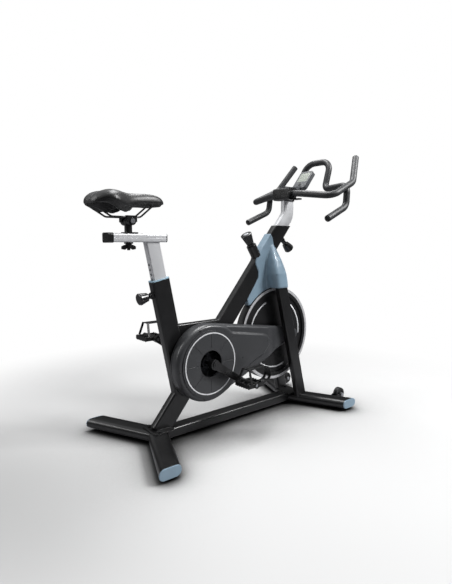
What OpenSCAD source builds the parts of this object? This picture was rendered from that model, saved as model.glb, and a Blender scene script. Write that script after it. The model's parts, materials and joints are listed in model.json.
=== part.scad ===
// Indoor spin bike: welded steel frame, belt-driven flywheel, sliding saddle and handlebar posts.
// Millimetres. +X is forward, +Y is the rider's left and +Z is up. The floor is z = 0.

/* [Layout] */
// Crank axis, ahead of the origin
crank_x = -173; // [-183:1:-163]
// Crank axis above the floor
crank_z = 310; // [306:1:314]
// Flywheel axis, ahead of the crank axis
wheelbase = 453; // [450:1:456]
// Flywheel axis above the floor
flywheel_z = 373; // [371:1:375]
// Flywheel outer radius
flywheel_r = 225; // [220:1:226]
// Flywheel rim width
flywheel_w = 46; // [40:1:48]

/* [Frame tubes] */
// Depth of the long diagonal tube
main_depth = 84; // [82:1:86]
// Width of the long diagonal tube
main_width = 34; // [33:1:36]
// Slope of the diagonal tube from the floor, degrees
main_slope = 50.2; // [49.8:0.1:50.6]
// Height at which the diagonal tube ends
main_top_z = 891; // [885:1:897]
// Backward lean of the seat tube, degrees
seat_lean = 12; // [11.5:0.1:12.5]
// Width of a fork leg, fore and aft
leg_depth = 58; // [54:1:60]
// Thickness of a fork leg
leg_width = 30; // [26:1:30]
// Backward lean of the fork legs, degrees
leg_lean = 15; // [14.5:0.1:15.5]

/* [Feet] */
// Width of the flat-oval foot tube
foot_w = 84; // [80:1:86]
// Height of the flat-oval foot tube
foot_h = 42; // [40:1:44]
// Sweep of each foot arm from square across, degrees
foot_sweep = 24; // [22:1:26]
// Half width across the rear foot, to its cut end
rear_reach = 294; // [286:1:300]
// Half width across the front foot, to its cut end
front_reach = 282; // [278:1:294]
// Diameter of a levelling foot
pad_d = 42; // [36:1:46]

/* [Drive] */
// Pitch radius of the drive pulley on the cranks
drive_r = 115; // [110:1:118]
// Radius of the flywheel's pulley
small_r = 25; // [23:1:26]
// Crank length
crank_len = 170; // [165:1:172]
// Crank angle at rest, below horizontal, degrees
crank_drop = 33; // [25:1:40]
// Radius of the round part of the chain guard
guard_r = 165; // [162:1:167]

/* [Seat] */
// Height of the slider tube's underside at rest
slider_z = 814; // [810:1:830]
// Saddle post, ahead of the crank axis, at rest
saddle_x = -325; // [-330:1:-320]

/* [Handlebar] */
// Outside diameter of the handlebar tubes
bar_d = 31; // [30:0.5:32]
// Height of the handlebar clamp's bore
bar_z = 1047; // [1044:1:1050]

/* [Hidden] */
$fn = 64;
arc_steps = 6;
wall = 3;
run_gap = 0.05;
foot_z = 32;
foot_r = foot_h / 2 - 0.8;
rear_apex = -212;
front_apex = 574;
main_off = 14;
seat_base = [-120, 0, 310];
leg_base = [586, 65, 55];
bb_r = 27;
bb_half = 32;
bearing_r = 21;
shaft_r = 10;
belt_y = -39;
belt_w = 10;
belt_t = 4;
post_size = [69, 25];
seat_post_size = [60, 30];
hole_pitch = 20;
seat_pin_t = 312;
bar_pin_t = 715;
brake_lean = 33;
brake_top = [303, 0, 800];
wheel_pos = [750, 183, 46];
wheel_r = 31;
console_base = [621, 0, 1087];
console_tilt = 39;
bar_r = bar_d / 2;

// ---------- outlines ----------

// Corner points of a rectangle w by d with rounded corners
function rounded(w, d, r) = [
    for (c = [[1, 1, 0], [-1, 1, 90], [-1, -1, 180], [1, -1, 270]], i = [0:arc_steps])
        let (a = c[2] + 90 * i / arc_steps)
        [c[0] * (w / 2 - r) + r * cos(a), c[1] * (d / 2 - r) + r * sin(a)]
];

// Points on an arc about centre c
function arc(c, r, a0, a1, n) = [
    for (i = [0:n]) let (a = a0 + (a1 - a0) * i / n) [c[0] + r * cos(a), c[1] + r * sin(a)]
];

// Straight bar of rounded rectangular section, from z = low to z = high
module bar(w, d, r, low, high) {
    translate([0, 0, low]) linear_extrude(high - low) polygon(rounded(w, d, r));
}

module both_sides() {
    children();
    mirror([0, 1, 0]) children();
}

// ---------- places ----------

module from_crank() {
    translate([crank_x, 0, 0]) children();
}

// z runs up the diagonal tube from the crank axis; x points forward and down
module in_main_tube() {
    translate([main_off, 0, crank_z]) rotate([0, 90 - main_slope, 0]) children();
}

// z runs up the seat tube; x points forward
module in_seat_tube() {
    translate(seat_base) rotate([0, -seat_lean, 0]) children();
}

// z runs up the left fork leg from the foot
module in_leg() {
    translate(leg_base) rotate([0, -leg_lean, 0]) children();
}

// z runs up the resistance knob's axis from the collar's mouth
module in_brake() {
    translate(brake_top) rotate([0, -brake_lean, 0]) children();
}

// z runs out along the left arm of a foot from its apex; x is up
module in_arm(apex, sweep) {
    translate([apex, 0, foot_z]) rotate([0, 0, 90 - sweep]) rotate([0, 90, 0])
        rotate([0, 0, 180]) children();
}

// y is the axle direction; the flywheel's centre is the origin
module at_flywheel() {
    translate([wheelbase, 0, flywheel_z]) children();
}

// Cylinder along y from y0 to y1
module across(r, y0, y1) {
    translate([0, y1, 0]) rotate([90, 0, 0]) cylinder(r = r, h = y1 - y0);
}

// Outline drawn in x and z, extruded from y0 to y1
module side_plate(y0, y1) {
    translate([0, y1, 0]) rotate([90, 0, 0]) linear_extrude(y1 - y0) children();
}

// ---------- bent round tubes ----------

function unit(v) = v / norm(v);
function turn_at(p, i) = acos(unit(p[i] - p[i - 1]) * unit(p[i + 1] - p[i]));
// How far a bend of radius r eats into the tube on each side of corner i
function trim_at(p, r, i) = (i <= 0 || i >= len(p) - 1) ? 0 : r[i] * tan(turn_at(p, i) / 2);

// Places z along direction d with its start at p
module aim(p, d) {
    translate(p) rotate([0, acos(unit(d)[2]), atan2(d[1], d[0])]) children();
}

// Straight lengths stand this far inside the bends, so that the two never share a surface
joint_lap = 1.2;
joint_step = 0.06;

// Round bar of radius rad through the corners p, with bend radius r[i] at corner i
module bent_bar(p, r, rad) {
    last = len(p) - 1;
    for (i = [0:last - 1])
        let (
            d = p[i + 1] - p[i],
            a = i == 0 ? 0 : trim_at(p, r, i) - joint_lap,
            b = i == last - 1 ? 0 : trim_at(p, r, i + 1) - joint_lap
        )
        aim(p[i] + unit(d) * a, d) cylinder(r = rad - joint_step, h = norm(d) - a - b);
    for (i = [1:last - 1])
        let (
            u = unit(p[i] - p[i - 1]),
            v = unit(p[i + 1] - p[i]),
            n = unit(cross(u, v)),
            side = cross(n, u),
            centre = p[i] - u * trim_at(p, r, i) + side * r[i],
            lean = acos(n[2]),
            heading = atan2(n[1], n[0]),
            across_axis = [-sin(heading), cos(heading), 0],
            down_axis = [cos(lean) * cos(heading), cos(lean) * sin(heading), -sin(lean)]
        )
        translate(centre) rotate([0, lean, heading])
            rotate([0, 0, atan2(-side * across_axis, -side * down_axis)])
                rotate_extrude(angle = turn_at(p, i)) translate([r[i], 0]) circle(r = rad);
}

// ---------- frame ----------

// Both arms of a foot, cut off in line with the bike at the reach
module foot_solid(apex, sweep, reach, grow) {
    both_sides() difference() {
        in_arm(apex, sweep)
            bar(foot_h + 2 * grow, foot_w + 2 * grow, foot_r + grow, -60, reach + 80);
        translate([apex - 200, -300, -100]) cube([400, 300, 300]);
        translate([apex - 300, reach + grow, -100]) cube([600, 200, 300]);
    }
}

module foot_hollow(apex, sweep, reach) {
    both_sides() difference() {
        in_arm(apex, sweep)
            bar(foot_h - 2 * wall, foot_w - 2 * wall, foot_r - wall, -60, reach + 90);
        translate([apex - 200, -300, -100]) cube([400, 300, 300]);
    }
}

// Where the bolts hold the frame to a foot: x ahead of the crank, y off the middle
foot_bolt_y = 38;
foot_bolt_r = 5;
plate_z = foot_z + foot_h / 2 + 0.4;
plate_t = 6;
rear_bolt_x = rear_apex - foot_bolt_y * tan(foot_sweep);
front_bolt_x = front_apex + foot_bolt_y * tan(foot_sweep);

module foot_plates() {
    translate([rear_bolt_x - 22, -52, plate_z]) cube([90, 104, plate_t]);
    translate([front_bolt_x - 68, -49, plate_z]) cube([90, 98, plate_t]);
}

module frame_tubes() {
    in_main_tube() bar(main_depth, main_width, 8, -345, 820);
    in_seat_tube() bar(80, 40, 8, -125, 363);
    translate([-140, 0, 456]) rotate([0, 90, 0]) bar(45, 32, 6, 0, 250);
    translate([-186, 0, 34]) rotate([0, 90, 0]) bar(40, 60, 8, 0, 730);
    both_sides() in_leg() bar(leg_depth, leg_width, 6, -10, 590);
    translate([0, 0, crank_z]) across(bb_r, -bb_half, bb_half);
    in_brake() translate([0, 0, -60]) cylinder(r = 23, h = 60);
}

module frame_hollows() {
    in_main_tube() bar(main_depth - 2 * wall, main_width - 2 * wall, 5, 40, 830);
    in_seat_tube() bar(80 - 2 * wall, 40 - 2 * wall, 5, 15, 370);
    translate([-150, 0, 34]) rotate([0, 90, 0]) bar(40 - 2 * wall, 60 - 2 * wall, 5, 0, 640);
    both_sides() in_leg() bar(leg_depth - 2 * wall, leg_width - 2 * wall, 4, 20, 540);
}

// Crown that joins the tops of the fork legs to the diagonal tube, open in the middle for the brake
module crown() both_sides() {
    side_plate(22.2, 52)
        polygon([[404, 616], [452, 616], [446, 650], [432, 722], [406, 722], [388, 692]]);
    translate([385, 10, 692]) cube([46, 14, 30]);
}

// Bearing plate that reaches in from each leg to the flywheel shaft
module shaft_plate() {
    at_flywheel() {
        across(30, 27, 33);
        side_plate(27, 33) polygon([[0, -26], [62, -24], [62, 24], [0, 26]]);
        side_plate(27, 52) polygon([[36, -24], [62, -24], [62, 24], [36, 24]]);
    }
}

module main_frame() color("#1d1d1f") from_crank() difference() {
    union() {
        difference() {
            union() {
                frame_tubes();
                foot_plates();
            }
            frame_hollows();
        }
        crown();
        both_sides() shaft_plate();
        // Guide for the brake sleeve, welded through the diagonal tube
        in_brake() translate([0, 0, -150]) cylinder(r = 15, h = 116);
    }
    // The diagonal tube's interior above the guide stays open for the handlebar post
    in_main_tube() bar(main_depth - 2 * wall, main_width - 2 * wall, 5, 565, 830);
    // Level top of the diagonal tube
    translate([300, -60, main_top_z]) cube([400, 120, 200]);
    foot_solid(rear_apex, -foot_sweep, rear_reach, 0.2);
    foot_solid(front_apex, foot_sweep, front_reach, 0.2);
    translate([-400, -400, -100]) cube([1200, 800, 113]);
    for (s = [-1, 1]) {
        translate([rear_bolt_x, s * foot_bolt_y, 40]) cylinder(r = foot_bolt_r + 0.3, h = 40);
        translate([front_bolt_x, s * foot_bolt_y, 40]) cylinder(r = foot_bolt_r + 0.3, h = 40);
    }
    translate([0, 0, crank_z]) across(bearing_r + run_gap, -bb_half - 1, bb_half + 1);
    at_flywheel() across(bearing_r + run_gap, -34, 34);
    in_brake() translate([0, 0, -170]) cylinder(r = 12 + run_gap, h = 180);
    in_seat_tube() translate([-30, 0, seat_pin_t]) rotate([0, -90, 0]) cylinder(r = 5.3, h = 30);
    in_main_tube() translate([30, 0, bar_pin_t]) rotate([0, 90, 0]) cylinder(r = 5.3, h = 30);
}

module foot(apex, sweep, reach) {
    difference() {
        union() {
            difference() {
                foot_solid(apex, sweep, reach, 0);
                foot_hollow(apex, sweep, reach);
            }
            both_sides() in_arm(apex, sweep) translate([0, 0, pad_t]) rotate([0, 90, 0])
                translate([0, 0, -foot_h / 2 + 1]) cylinder(r = 10, h = 22);
        }
        both_sides() in_arm(apex, sweep) translate([0, 0, pad_t]) rotate([0, 90, 0])
            translate([0, 0, -foot_h / 2 - 1]) cylinder(r = 5 + run_gap, h = 30);
        for (s = [-1, 1])
            translate([apex + foot_bolt_y * tan(sweep), s * foot_bolt_y, foot_z])
                cylinder(r = foot_bolt_r + run_gap, h = 40);
    }
}

// Distance of a levelling foot from the apex, along the arm
pad_t = 279;

module rear_foot() color("#1d1d1f") from_crank() foot(rear_apex, -foot_sweep, rear_reach);

module wheel_bracket() {
    for (s = [-1, 1])
        translate([wheel_pos[0], wheel_pos[1] + s * 16, wheel_pos[2]])
            difference() {
                side_plate(-2, 2)
                    polygon(concat(
                        arc([0, 0], 11, -90, 80, 10), [[-50, -8], [-64, -14], [-64, -26], [-20, -26]]
                    ));
                across(5 + run_gap, -3, 3);
            }
}

module front_foot() color("#1d1d1f") from_crank() union() {
    foot(front_apex, foot_sweep, front_reach);
    both_sides() difference() {
        wheel_bracket();
        foot_solid(front_apex, foot_sweep, front_reach, -0.5);
    }
}

// Slice of a foot arm between two planes in line with the bike
module arm_slice(apex, sweep, inset, from, to) intersection() {
    in_arm(apex, sweep) bar(foot_h - 2 * inset, foot_w - 2 * inset, foot_r - inset, 200, 420);
    translate([apex - 300, from, 0]) cube([600, to - from, 80]);
}

module end_cap(apex, sweep, reach) {
    arm_slice(apex, sweep, 0, reach + 0.2, reach + 2.4);
    arm_slice(apex, sweep, 1.3, reach + 2.3, reach + 3.6);
    arm_slice(apex, sweep, wall + 0.5, reach - 10, reach + 0.3);
}

module foot_end_caps() color("#829eb2") from_crank() both_sides() {
    end_cap(rear_apex, -foot_sweep, rear_reach);
    end_cap(front_apex, foot_sweep, front_reach);
}

module foot_bolts() color("silver") from_crank() {
    for (x = [rear_bolt_x, front_bolt_x], s = [-1, 1])
        translate([x, s * foot_bolt_y, 0]) {
            translate([0, 0, 40]) cylinder(r = foot_bolt_r, h = plate_z + plate_t - 40 + 1);
            translate([0, 0, plate_z + plate_t + 0.1]) cylinder(r = 9, h = 5);
        }
}

// Levelling foot: rubber-faced disc on a threaded stem
module levelling_foot(apex, sweep, side) color("#161616") from_crank()
    translate([apex + pad_t * sin(sweep), side * pad_t * cos(sweep), 0]) {
        cylinder(r = pad_d / 2, h = 5);
        translate([0, 0, 4.9]) cylinder(r = pad_d / 2 - 5, h = 4);
        translate([0, 0, 8]) cylinder(r = 5, h = 20);
    }

module levelling_foot_rear_left() levelling_foot(rear_apex, -foot_sweep, 1);
module levelling_foot_rear_right() levelling_foot(rear_apex, -foot_sweep, -1);
module levelling_foot_front_left() levelling_foot(front_apex, foot_sweep, 1);
module levelling_foot_front_right() levelling_foot(front_apex, foot_sweep, -1);

module transport_wheel(side) color("#202020") from_crank()
    translate([wheel_pos[0], side * wheel_pos[1], wheel_pos[2]]) difference() {
        union() {
            across(wheel_r, -11, 11);
            across(12, -12.5, 12.5);
        }
        across(5 + run_gap, -13, 13);
        for (s = [-1, 1]) difference() {
            across(22, s * 13 - 5, s * 13 + 5);
            across(13, s * 13 - 6, s * 13 + 6);
        }
    }

module transport_wheel_left() transport_wheel(1);
module transport_wheel_right() transport_wheel(-1);

module wheel_bolts() color("silver") from_crank() both_sides() translate(wheel_pos) {
    across(5, -24, 19);
    across(9, 18.2, 24);
    across(8, -24.5, -18.2);
}

// ---------- chain guard ----------

nose_c = [556, 362];
nose_r = 26;
guard_face = -80;
guard_front_face = -48;
guard_split = -33;

// Side outline of the whole guard, inset all round
function guard_outline(inset) = concat(
    arc([0, crank_z], guard_r - inset, 84, 292, 48),
    [[267, 240 + inset], [403, 290 + inset], [488, 321 + inset]],
    arc(nose_c, nose_r - inset, -70, 82, 10),
    [[475, 408 - inset], [283, 436 - inset]]
);

// Outline of the deep part that covers the drive pulley
function guard_deep_outline(inset) = concat(
    arc([0, crank_z], guard_r - inset, 84, 292, 48),
    [[267 - inset, 240 + inset], [340 - inset, 330], [350 - inset, 400 - inset], [283, 436 - inset]]
);

guard_t = 2.5;
rim_screw_angles = [110, 185, 257, 330];
front_screws = [[466, 400], [474, 328], [556, 362]];

// Slope that leads from the deep part of the guard down to its front part
module guard_slope(inset) hull() {
    side_plate(guard_face + 0.6 + inset, guard_face + 1.6 + inset)
        offset(delta = -inset) polygon([[250, 246], [340, 330], [350, 400], [270, 435]]);
    side_plate(guard_front_face - 1, guard_front_face + 1 + inset)
        offset(delta = -inset) polygon([[250, 238], [403, 293], [454, 311], [454, 409], [270, 435]]);
}

module guard_outer() color("#46474a") from_crank() difference() {
    union() {
        guard_slope(0);
        side_plate(guard_front_face, guard_split) polygon(guard_outline(0));
        side_plate(guard_face + 4, guard_front_face) polygon(guard_deep_outline(0));
        side_plate(guard_face, guard_face + 4.01) polygon(guard_deep_outline(4));
    }
    side_plate(guard_front_face + guard_t, guard_split + 1) polygon(guard_outline(guard_t));
    side_plate(guard_face + guard_t, guard_front_face + 5) polygon(guard_deep_outline(4 + guard_t));
    guard_slope(guard_t);
    translate([0, 0, crank_z]) across(62, -90, -60);
    // Clearance for the crown of the bearing plate behind the fork leg
    at_flywheel() side_plate(-52, -30) polygon([[33, -27], [66, -27], [66, 27], [33, 27]]);
}

module guard_inner() color("#3a3b3d") from_crank() difference() {
    side_plate(guard_split + 0.2, -27.2) polygon(guard_outline(0));
    side_plate(guard_split, -29.5) polygon(guard_outline(guard_t));
    translate([0, 0, crank_z]) across(bb_r + 1.5, -40, -20);
    side_plate(-40, -20) polygon([
        [395, 300], [620, 300], [620, 420], [395, 420]
    ]);
}

disc_face = guard_face - 5;

module guard_disc() color("#3e3f42") from_crank() translate([0, 0, crank_z]) difference() {
    union() {
        across(142, guard_face - 4, guard_face - 0.2);
        across(136, disc_face, guard_face - 3.9);
        across(61.5, guard_face - 0.3, guard_face + 3);
    }
    across(56, disc_face - 1, guard_face + 10);
    difference() {
        across(132.2, disc_face - 1, disc_face + 1.2);
        across(126.8, disc_face - 2, disc_face + 2);
    }
    for (a = [0:45:315])
        rotate([0, -a, 0]) translate([66, disc_face - 1, -1.5]) cube([58, 2, 3]);
}

module guard_ring() color("#e4e5e6") from_crank() translate([0, 0, crank_z]) difference() {
    across(132, disc_face - 0.4, disc_face + 1.1);
    across(127, disc_face - 1, disc_face + 2);
}

module guard_screws() color("#8c8c8c") from_crank() {
    for (a = rim_screw_angles)
        translate([154 * cos(a), 0, crank_z + 154 * sin(a)]) across(4, guard_face - 2, guard_face - 0.1);
    for (p = front_screws)
        translate([p[0], 0, p[1]]) across(4, guard_front_face - 2, guard_front_face - 0.1);
}

// ---------- blue head cover ----------

// Side of the cover, over the diagonal tube
cover_outline = [
    [411, 858], [426, 836], [441, 770], [458, 708], [474, 650], [478, 609],
    [410, 603], [360, 580], [306, 545], [270, 522], [262, 552], [298, 602],
    [330, 649], [331, 680], [311, 718], [324, 752], [354, 790], [382, 822]
];
// Bulge of the cover over a fork leg
cover_bulge = [
    [402, 790], [441, 770], [458, 708], [474, 650], [478, 609], [396, 603], [380, 660], [378, 730]
];
cover_face = [[425, 700], [456, 690], [474, 650], [478, 609], [396, 603], [398, 650]];
cover_half_width = 21.5;

module cover_half() difference() {
    union() {
        side_plate(0.1, cover_half_width) polygon(cover_outline);
        hull() {
            side_plate(cover_half_width - 2, 72) polygon(cover_bulge);
            side_plate(60, 86) polygon(cover_face);
        }
    }
    // Hollow inside, leaving a moulded wall
    side_plate(-1, cover_half_width - 3) offset(delta = -3.2) polygon(cover_outline);
    hull() {
        side_plate(cover_half_width - 4, 69) offset(delta = -3) polygon(cover_bulge);
        side_plate(60, 82.8) offset(delta = -3) polygon(cover_face);
    }
    in_main_tube() bar(main_depth + 1, main_width + 1, 8, -345, 900);
    in_leg() bar(leg_depth + 1, leg_width + 1, 6, 400, 620);
    in_brake() translate([0, 0, -90]) cylinder(r = 24, h = 200);
    at_flywheel() across(flywheel_r + 5, -1, 40);
    // Room between the sides for the brake shoe
    at_flywheel() across(flywheel_r + 30, -1, cover_half_width - 3);
}

module head_cover_left() color("#829eb2") from_crank() cover_half();
module head_cover_right() color("#829eb2") from_crank() mirror([0, 1, 0]) cover_half();

// ---------- sleeves, bearings and drive ----------

module tube_sleeves() color("#b9c7d2") from_crank() {
    in_seat_tube() difference() {
        union() {
            bar(80 - 2 * wall - 0.4, 40 - 2 * wall - 0.4, 4.8, 300, 363.2);
            bar(80, 40, 8, 363.2, 368);
        }
        bar(seat_post_size[0] + 0.2, seat_post_size[1] + 0.2, 6, 290, 380);
        translate([-20, 0, seat_pin_t]) rotate([0, -90, 0]) cylinder(r = 5.3, h = 30);
    }
    difference() {
        union() {
            in_main_tube()
                bar(main_depth - 2 * wall - 0.4, main_width - 2 * wall - 0.4, 4.8, 680, 830);
            intersection() {
                in_main_tube() bar(main_depth, main_width, 8, 680, 830);
                translate([300, -60, main_top_z + 0.2]) cube([400, 120, 4]);
            }
        }
        translate([300, -60, main_top_z + 4]) cube([400, 120, 200]);
        in_main_tube() bar(post_size[0] + 0.2, post_size[1] + 0.2, 6, 670, 840);
        in_main_tube() translate([25, 0, bar_pin_t]) rotate([0, 90, 0]) cylinder(r = 5.3, h = 30);
    }
}

module ring(outer, inner, y0, y1) difference() {
    across(outer, y0, y1);
    across(inner, y0 - 1, y1 + 1);
}

module bottom_bracket_bearings() color("silver") from_crank() translate([0, 0, crank_z]) both_sides()
    ring(bearing_r, shaft_r + run_gap, 19, 31);

module crank_axle() color("silver") from_crank() translate([0, 0, crank_z]) {
    across(shaft_r, -114, 114);
    across(13, -18, 18);
}

function belt_angle() = atan2(flywheel_z - crank_z, wheelbase);
function belt_splay() = asin((drive_r - small_r) / norm([wheelbase, flywheel_z - crank_z]));

// Outline of the belt's loop, at a distance from the pulley faces
function belt_loop(gap) = concat(
    arc([0, crank_z], drive_r + gap, 90 + belt_angle() - belt_splay(), 270 + belt_angle() + belt_splay(), 40),
    arc([wheelbase, flywheel_z], small_r + gap, -90 + belt_angle() + belt_splay(),
        90 + belt_angle() - belt_splay(), 20)
);

module drive_pulley() color("#5a5d60") from_crank() translate([0, 0, crank_z]) difference() {
    union() {
        ring(drive_r, drive_r - 12, belt_y - belt_w / 2 - 1, belt_y + belt_w / 2 + 1);
        across(drive_r - 6, belt_y - 3, belt_y + 3);
        across(26, -56, belt_y + 5);
    }
    across(shaft_r + run_gap, -60, -30);
    for (a = [0:60:300])
        rotate([0, a, 0]) translate([66, 0, 0]) across(24, -60, -30);
}

module drive_belt() color("#111111") from_crank() difference() {
    side_plate(belt_y - belt_w / 2, belt_y + belt_w / 2) polygon(belt_loop(belt_t));
    side_plate(belt_y - belt_w / 2 - 1, belt_y + belt_w / 2 + 1) polygon(belt_loop(0.4));
}

// ---------- cranks and pedals ----------

// Turns from the level, forward-pointing crank to the crank's rest angle
module at_crank(side) {
    translate([0, 0, crank_z]) rotate([0, crank_drop + (side > 0 ? 180 : 0), 0]) children();
}

module crank(side) color("#141414") from_crank() at_crank(side) difference() {
    union() {
        across(22, side * 102 - 13, side * 102 + 13);
        across(14, side * 107 - 8, side * 107 + 8);
        translate([crank_len, 0, 0]) across(15, side * 107 - 8, side * 107 + 8);
        side_plate(side * 107 - 7, side * 107 + 7)
            polygon([[0, -18], [crank_len, -13], [crank_len, 13], [0, 18]]);
    }
    across(shaft_r + run_gap, side * 104 - 20, side * 104 + 20);
    translate([crank_len, 0, 0]) across(7 + run_gap, side * 107 - 10, side * 107 + 10);
}

module crank_right() crank(-1);
module crank_left() crank(1);

module crank_bolts() color("#303030") from_crank() translate([0, 0, crank_z]) both_sides() {
    across(14, 115.3, 118);
    across(7, 117.9, 120);
}

function pedal_at(side) = [
    (side > 0 ? -1 : 1) * crank_len * cos(crank_drop),
    0,
    crank_z - (side > 0 ? -1 : 1) * crank_len * sin(crank_drop)
];

module pedal_spindles() color("silver") from_crank()
    for (side = [-1, 1]) translate(pedal_at(side)) {
        across(7, side > 0 ? 100 : -212, side > 0 ? 212 : -100);
        across(10, side > 0 ? 115.3 : -121, side > 0 ? 121 : -115.3);
    }

// Pedal body: barrel on the spindle and an open frame with toothed edges
module pedal(side) color("#1a1a1a") from_crank() translate(pedal_at(side)) scale([1, side, 1]) difference() {
    union() {
        across(13, 122, 214);
        for (x = [-44, 38]) translate([x, 124, -8]) cube([6, 88, 16]);
        for (y = [124, 206]) translate([-44, y, -8]) cube([88, 6, 16]);
        for (y = [148, 184]) translate([-44, y, -6]) cube([88, 5, 12]);
        for (x = [-41, 41], y = [132:14:204]) translate([x - 2, y, -11]) cube([4, 5, 22]);
    }
    across(7 + run_gap, 120, 216);
}

module pedal_right() pedal(-1);
module pedal_left() pedal(1);

strap_x = -33;
strap_lean = 8;

// Toe cage: a strap arch over the shoe, tied to two resin hoops ahead of the pedal
module toe_cage(side) color("#151515") from_crank() translate(pedal_at(side)) scale([1, side, 1]) {
    translate([strap_x, 0, 9.7]) rotate([0, strap_lean, 0]) rotate([90, 0, 90]) linear_extrude(10)
        polygon([
            [125, 0], [147, 58], [189, 58], [211, 0],
            [207.8, 0], [187, 54.8], [149, 54.8], [128.2, 0]
        ]);
    for (y = [148, 176]) side_plate(y, y + 12) polygon(concat(
        [[44.3, -7]], arc([74, 30], 36, -95, 90, 12), [[-22, 66], [-22, 62]],
        arc([74, 30], 32, 90, -95, 12), [[44.3, -3]]
    ));
    side_plate(148, 188) polygon(concat(arc([74, 30], 36, -20, 30, 6), arc([74, 30], 32, 30, -20, 6)));
}

module toe_cage_right() toe_cage(-1);
module toe_cage_left() toe_cage(1);

// ---------- flywheel ----------

module flywheel() color("#202124") from_crank() at_flywheel() difference() {
    union() {
        ring(flywheel_r, flywheel_r - 30, -flywheel_w / 2, flywheel_w / 2);
        across(flywheel_r - 20, -16, 16);
        across(36, -23, 23);
    }
    across(shaft_r + run_gap, -40, 40);
}

module flywheel_shaft() color("silver") from_crank() at_flywheel() {
    across(shaft_r, -45, 48);
    both_sides() ring(15, shaft_r - 0.5, 23.3, 26);
}

module flywheel_pulley() color("#6b6e71") from_crank() at_flywheel() difference() {
    across(small_r, belt_y - belt_w / 2 - 0.5, belt_y + belt_w / 2 + 0.5);
    across(shaft_r + run_gap, -60, -20);
}

module flywheel_bearings() color("silver") from_crank() at_flywheel() both_sides()
    ring(bearing_r, shaft_r + run_gap, 27.2, 32.8);

module shaft_nut() color("silver") from_crank() at_flywheel() difference() {
    across(15, 34, 44);
    across(shaft_r + run_gap, 30, 50);
}

// ---------- resistance and brake ----------

module brake_sleeve() color("#2b2b2b") from_crank() in_brake() difference() {
    union() {
        translate([0, 0, -146]) cylinder(r = 12, h = 150);
        translate([0, 0, 4]) cylinder(r = 17, h = 5);
    }
    translate([0, 0, -150]) cylinder(r = 5 + run_gap, h = 200);
}

module resistance_knob() color("#0d0d0e") from_crank() in_brake() difference() {
    union() {
        translate([0, 0, 12]) cylinder(r1 = 18, r2 = 26, h = 42);
        translate([0, 0, 53.9]) cylinder(r = 26, h = 6);
        translate([0, 0, 59.8]) cylinder(r = 19, h = 3);
    }
    translate([0, 0, 5]) cylinder(r = 5 + run_gap, h = 36);
}

module brake_rod() color("silver") from_crank() in_brake()
    translate([0, 0, -shoe_top]) cylinder(r = 5, h = shoe_top + 32);

// Distance from the collar's mouth down the brake axis to the shoe
shoe_top = 224;
pad_gap = 7;

module rim_sector(r0, r1, half_angle, half_width) {
    at_flywheel() intersection() {
        ring(r1, r0, -half_width, half_width);
        rotate([0, -94.7, 0]) side_plate(-half_width - 1, half_width + 1)
            polygon([[0, 0], [400, -400 * tan(half_angle)], [400, 400 * tan(half_angle)]]);
    }
}

module brake_shoe() color("#8a6a45") from_crank() difference() {
    rim_sector(flywheel_r + pad_gap, flywheel_r + pad_gap + 16, 8, 16);
    in_brake() translate([0, 0, -shoe_top - 0.3]) cylinder(r = 5 + run_gap, h = 60);
}

// ---------- pop-pins ----------

// Threaded housing: hexagonal base and a round neck, standing on a tube face along +z
module pin_housing(neck_top) difference() {
    union() {
        cylinder(r = 14, h = 12, $fn = 6);
        translate([0, 0, 11.9]) cylinder(r = 10, h = neck_top - 11.9);
    }
    translate([0, 0, -1]) cylinder(r = 5.3, h = neck_top + 5);
}

// Gap that lets the knob move inwards until the pin is fully home
pin_gap = 9;
seat_neck = 18;
bar_neck = 32;

module pin_housings() color("#3b3b3b") from_crank() {
    in_seat_tube() translate([-40.1, 0, seat_pin_t]) rotate([0, -90, 0]) pin_housing(seat_neck);
    in_main_tube() translate([42.1, 0, bar_pin_t]) rotate([0, 90, 0]) pin_housing(bar_neck);
}

// Fluted pull knob on its steel pin; z = 0 is the tube face and the pin reaches down to z = -tip
module pull_pin(tip, start) {
    translate([0, 0, -tip]) cylinder(r = 5, h = tip + start + 10);
    difference() {
        union() {
            translate([0, 0, start]) cylinder(r1 = 17, r2 = 24, h = 34);
            translate([0, 0, start + 33.9]) cylinder(r = 22, h = 4);
        }
        for (a = [0:45:315])
            rotate([0, 0, a]) translate([27.5, 0, start - 2]) cylinder(r = 6, h = 50);
    }
}

module seat_pin() color("#0f0f10") from_crank() in_seat_tube()
    translate([-40, 0, seat_pin_t]) rotate([0, -90, 0]) pull_pin(9, seat_neck + pin_gap);

module handlebar_pin() color("#0f0f10") from_crank() in_main_tube()
    translate([42, 0, bar_pin_t]) rotate([0, 90, 0]) pull_pin(6, bar_neck + pin_gap);

// ---------- seat ----------

slider_h = 33;
slider_w = 46;
slider_rear = -396;
slider_front = -172;
stud_r = 6;

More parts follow.
